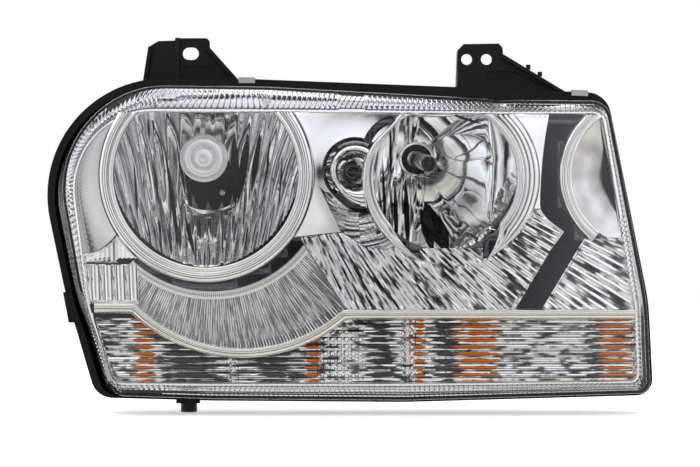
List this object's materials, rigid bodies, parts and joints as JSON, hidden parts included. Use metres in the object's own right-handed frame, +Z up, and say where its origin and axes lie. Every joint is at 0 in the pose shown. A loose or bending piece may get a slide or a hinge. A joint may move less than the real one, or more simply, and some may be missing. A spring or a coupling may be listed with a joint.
{
  "type": "car headlight assembly",
  "caption": "Wide car headlight with a clear lens, chrome trim rings, tilting low and high beam reflectors, a lower turn and marker lamp band, and a black housing with top brackets.",
  "frame": {"origin": "middle of the pair of holes in the inboard top bracket, half way through its plate", "axes": "+X towards the middle of the car along the lamp, +Y towards the back of the lamp, +Z up; the lens faces -Y"},
  "size_m": [0.4398, 0.1585, 0.2727],
  "materials": {
    "housing": "moulded satin black",
    "outboard_bracket": "moulded satin black",
    "inboard_bracket": "moulded satin black",
    "lens": "clear, glossy polycarbonate",
    "lens_seal": "black butyl",
    "bezel": "bright vacuum-metallised plastic",
    "divider_strip": "warm satin metallised",
    "crescent_trim": "fluted, bright metallised",
    "park_reflector": "bright metallised",
    "inner_reflector": "bright metallised",
    "marker_cell": "fluted, bright metallised",
    "middle_cell": "fluted, bright metallised",
    "turn_cell": "fluted, bright metallised",
    "low_reflector": "bright metallised",
    "high_reflector": "bright metallised",
    "carrier": "dark grey moulded",
    "pivot_sockets": "natural nylon",
    "adjuster_socket": "natural nylon",
    "pivot_studs": "zinc plated",
    "pivot_nuts": "zinc plated",
    "adjuster_housing": "black nylon",
    "adjuster_nut": "natural nylon",
    "adjuster_stud": "zinc plated",
    "low_bulb_glass": "clear glass",
    "low_bulb_base": "black heat-resistant plastic",
    "low_bulb_ring": "silicone",
    "bulb_shield": "bright metal",
    "high_bulb_glass": "clear glass",
    "high_bulb_base": "black heat-resistant plastic",
    "high_bulb_ring": "silicone",
    "park_bulb": "clear glass",
    "park_socket": "dark plastic",
    "park_gasket": "black rubber",
    "turn_bulb": "amber glass",
    "turn_socket": "dark grey plastic",
    "turn_gasket": "black rubber",
    "marker_bulb": "amber glass",
    "marker_socket": "dark grey plastic",
    "marker_gasket": "black rubber",
    "low_boot": "black soft rubber",
    "high_boot": "black soft rubber",
    "lens_clips": "black",
    "vent_caps": "black rubber",
    "side_clip": "black nylon"
  },
  "bodies": {
    "housing": {"housing": "housing", "outboard_bracket": "outboard_bracket", "inboard_bracket": "inboard_bracket", "lens": "lens", "lens_seal": "lens_seal", "bezel": "bezel", "divider_strip": "divider_strip", "crescent_trim": "crescent_trim", "park_reflector": "park_reflector", "inner_reflector": "inner_reflector", "marker_cell": "marker_cell", "middle_cell": "middle_cell", "turn_cell": "turn_cell", "pivot_studs": "pivot_studs", "pivot_nuts": "pivot_nuts", "adjuster_housing": "adjuster_housing", "low_boot": "low_boot", "high_boot": "high_boot", "lens_clips": "lens_clips", "vent_caps": "vent_caps", "side_clip": "side_clip"},
    "reflectors": {"low_reflector": "low_reflector", "high_reflector": "high_reflector", "carrier": "carrier", "pivot_sockets": "pivot_sockets", "adjuster_socket": "adjuster_socket", "bulb_shield": "bulb_shield"},
    "low_bulb": {"low_bulb_glass": "low_bulb_glass", "low_bulb_base": "low_bulb_base", "low_bulb_ring": "low_bulb_ring"},
    "high_bulb": {"high_bulb_glass": "high_bulb_glass", "high_bulb_base": "high_bulb_base", "high_bulb_ring": "high_bulb_ring"},
    "park_lamp": {"park_bulb": "park_bulb", "park_socket": "park_socket", "park_gasket": "park_gasket"},
    "turn_lamp": {"turn_bulb": "turn_bulb", "turn_socket": "turn_socket", "turn_gasket": "turn_gasket"},
    "marker_lamp": {"marker_bulb": "marker_bulb", "marker_socket": "marker_socket", "marker_gasket": "marker_gasket"},
    "adjuster_nut": {"adjuster_nut": "adjuster_nut"},
    "adjuster_stud": {"adjuster_stud": "adjuster_stud"}
  },
  "joints": [
    {"name": "reflector_tilt", "type": "hinge", "parent": "housing", "child": "reflectors", "pos_m": [-0.1154, 0.041, -0.0538], "axis": [1, 0, 0], "range_deg": [-2.5, 2.5], "deforming": ["low_boot", "high_boot"]},
    {"name": "stud_slide", "type": "slide", "parent": "housing", "child": "adjuster_stud", "axis": [0, 1, 0], "range_m": [-0.0045, 0.0045]},
    {"name": "adjuster_spin", "type": "hinge", "parent": "housing", "child": "adjuster_nut", "pos_m": [-0.1094, 0.071, -0.1538], "axis": [0, 1, 0], "range_deg": [-800, 800]},
    {"name": "low_bulb_twist", "type": "hinge", "parent": "reflectors", "child": "low_bulb", "pos_m": [-0.1964, 0.048, -0.0748], "axis": [0, 1, 0], "range_deg": [0, 35]},
    {"name": "high_bulb_twist", "type": "hinge", "parent": "reflectors", "child": "high_bulb", "pos_m": [-0.0434, 0.023, -0.0723], "axis": [-0.2134, 0.9703, 0.114], "range_deg": [0, 35]},
    {"name": "park_twist", "type": "hinge", "parent": "housing", "child": "park_lamp", "pos_m": [-0.0904, 0.023, -0.0828], "axis": [0, 1, 0], "range_deg": [0, 45]},
    {"name": "turn_twist", "type": "hinge", "parent": "housing", "child": "turn_lamp", "pos_m": [-0.0044, 0.03, -0.2113], "axis": [0, 1, 0], "range_deg": [0, 45]},
    {"name": "marker_twist", "type": "hinge", "parent": "housing", "child": "marker_lamp", "pos_m": [-0.2404, 0.03, -0.2113], "axis": [0, 1, 0], "range_deg": [0, 45]}
  ],
  "couplings": [
    {"joint": "stud_slide", "follows": "reflector_tilt", "m_per_rad": 0.1},
    {"joint": "adjuster_spin", "follows": "reflector_tilt", "ratio": 314.16}
  ]
}
